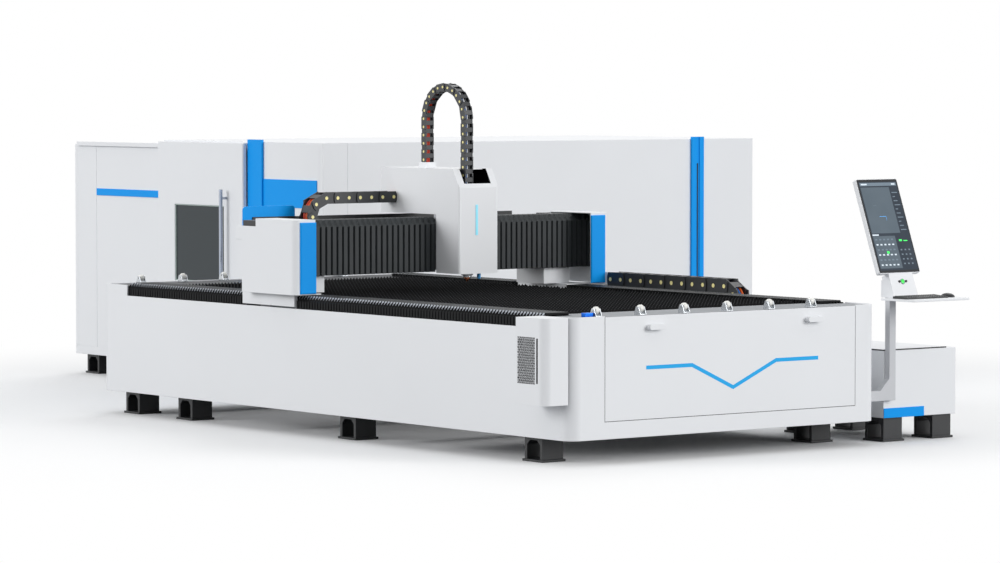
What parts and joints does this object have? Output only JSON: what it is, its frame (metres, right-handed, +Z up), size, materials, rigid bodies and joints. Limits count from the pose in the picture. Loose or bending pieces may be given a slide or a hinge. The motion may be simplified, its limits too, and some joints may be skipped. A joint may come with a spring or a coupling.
{
  "type": "laser cutting machine",
  "caption": "Gantry fibre-laser sheet cutter: open slat bed with a bellows-covered moving bridge and cutting head, a service cabin docked behind it and an operator console.",
  "frame": {"origin": "on the floor under the middle of the whole machine's box", "axes": "+X to the right along the bed's loading end, +Y from that end towards the cabin, +Z up"},
  "size_m": [5.684, 8.143, 2.1158],
  "materials": {
    "white_paint": "smooth powder coat",
    "blue_paint": "gloss paint",
    "grey_paint": "satin powder coat",
    "black_paint": "matt paint",
    "rail_steel": "ground",
    "slat_steel": "cut sheet steel",
    "bellows_cloth": "coated cloth",
    "chain_plastic": "moulded",
    "machined_aluminium": "milled",
    "nozzle_copper": "turned",
    "light_diffuser": "frosted",
    "smoked_glass": "dark tinted",
    "screen_glass": "polished",
    "chrome": "polished",
    "green_plastic": "moulded",
    "black_plastic": "moulded"
  },
  "bodies": {
    "bed": {"machine_feet": "black_paint", "bed_frame": "grey_paint", "bed_front_panel": "white_paint", "bed_left_panel": "white_paint", "bed_right_panel": "white_paint", "bed_rear_panel": "white_paint", "end_rims": "grey_paint", "y_guideways": "rail_steel", "slat_carrier": "grey_paint", "support_slats": "slat_steel", "loading_rollers": "rail_steel", "corner_vent_box": "white_paint", "drawer_runners": "grey_paint", "y_chain_trough": "black_paint", "y_chain": "chain_plastic", "y_bellows_front": "bellows_cloth", "y_bellows_rear": "bellows_cloth", "cabin_base": "grey_paint", "cabin_front_wall": "white_paint", "cabin_left_wall": "white_paint", "cabin_right_wall": "white_paint", "cabin_back_wall": "white_paint", "cabin_roof": "white_paint", "cabin_pillars": "blue_paint", "accent_plates": "blue_paint", "door_track": "rail_steel", "laser_source": "white_paint", "side_cabinet": "white_paint", "cabinet_lid": "black_paint", "console_arm": "white_paint"},
    "gantry": {"gantry_saddles": "white_paint", "left_end_cover": "white_paint", "right_end_cover": "white_paint", "end_junction_boxes": "black_paint", "gantry_accents": "blue_paint", "gantry_beam": "white_paint", "x_guide_rails": "rail_steel", "x_bellows": "bellows_cloth", "x_chain_tray": "black_paint", "x_chain": "chain_plastic"},
    "carriage": {"head_housing": "white_paint", "light_strip": "light_diffuser", "carriage_plate": "machined_aluminium", "z_chain": "chain_plastic"},
    "head": {"cutting_head": "machined_aluminium", "nozzle": "nozzle_copper"},
    "door": {"cabin_door": "white_paint", "door_window": "smoked_glass", "door_handle": "chrome"},
    "drawer": {"slag_drawer": "white_paint", "drawer_handles": "white_paint"},
    "console": {"monitor_housing": "white_paint", "monitor_screen": "screen_glass", "control_panel": "white_paint", "keyboard_tray": "white_paint", "keyboard": "black_plastic", "mouse": "black_plastic"},
    "button": {"start_button": "green_plastic"},
    "left_knob": {"left_selector": "black_plastic"},
    "right_knob": {"right_selector": "black_plastic"}
  },
  "joints": [
    {"name": "gantry_slide", "type": "slide", "parent": "bed", "child": "gantry", "axis": [0, 1, 0], "range_m": [-2, 1.05], "deforming": ["y_bellows_front", "y_bellows_rear", "y_chain"]},
    {"name": "carriage_slide", "type": "slide", "parent": "gantry", "child": "carriage", "axis": [1, 0, 0], "range_m": [-0.86, 0.66], "deforming": ["x_bellows", "x_chain"]},
    {"name": "head_lift", "type": "slide", "parent": "carriage", "child": "head", "axis": [0, 0, 1], "range_m": [-0.035, 0.085], "deforming": ["z_chain"]},
    {"name": "door_slide", "type": "slide", "parent": "bed", "child": "door", "axis": [0, 1, 0], "range_m": [0, 1.05]},
    {"name": "drawer_slide", "type": "slide", "parent": "bed", "child": "drawer", "axis": [0, -1, 0], "range_m": [0, 0.9]},
    {"name": "console_swivel", "type": "hinge", "parent": "bed", "child": "console", "pos_m": [-0.192, -3.7615, 0.8573], "axis": [0, 0, 1], "range_deg": [-30, 30]},
    {"name": "start_press", "type": "slide", "parent": "console", "child": "button", "axis": [0, 0.9336, -0.3584], "range_m": [0, 0.004], "stiffness_N_per_m": 500},
    {"name": "left_selector_turn", "type": "hinge", "parent": "console", "child": "left_knob", "pos_m": [-0.1685, -3.81013, 0.95145], "axis": [0, -0.9336, 0.3584], "range_deg": [-45, 45]},
    {"name": "right_selector_turn", "type": "hinge", "parent": "console", "child": "right_knob", "pos_m": [-0.1165, -3.81013, 0.95145], "axis": [0, -0.9336, 0.3584], "range_deg": [-45, 45]}
  ]
}
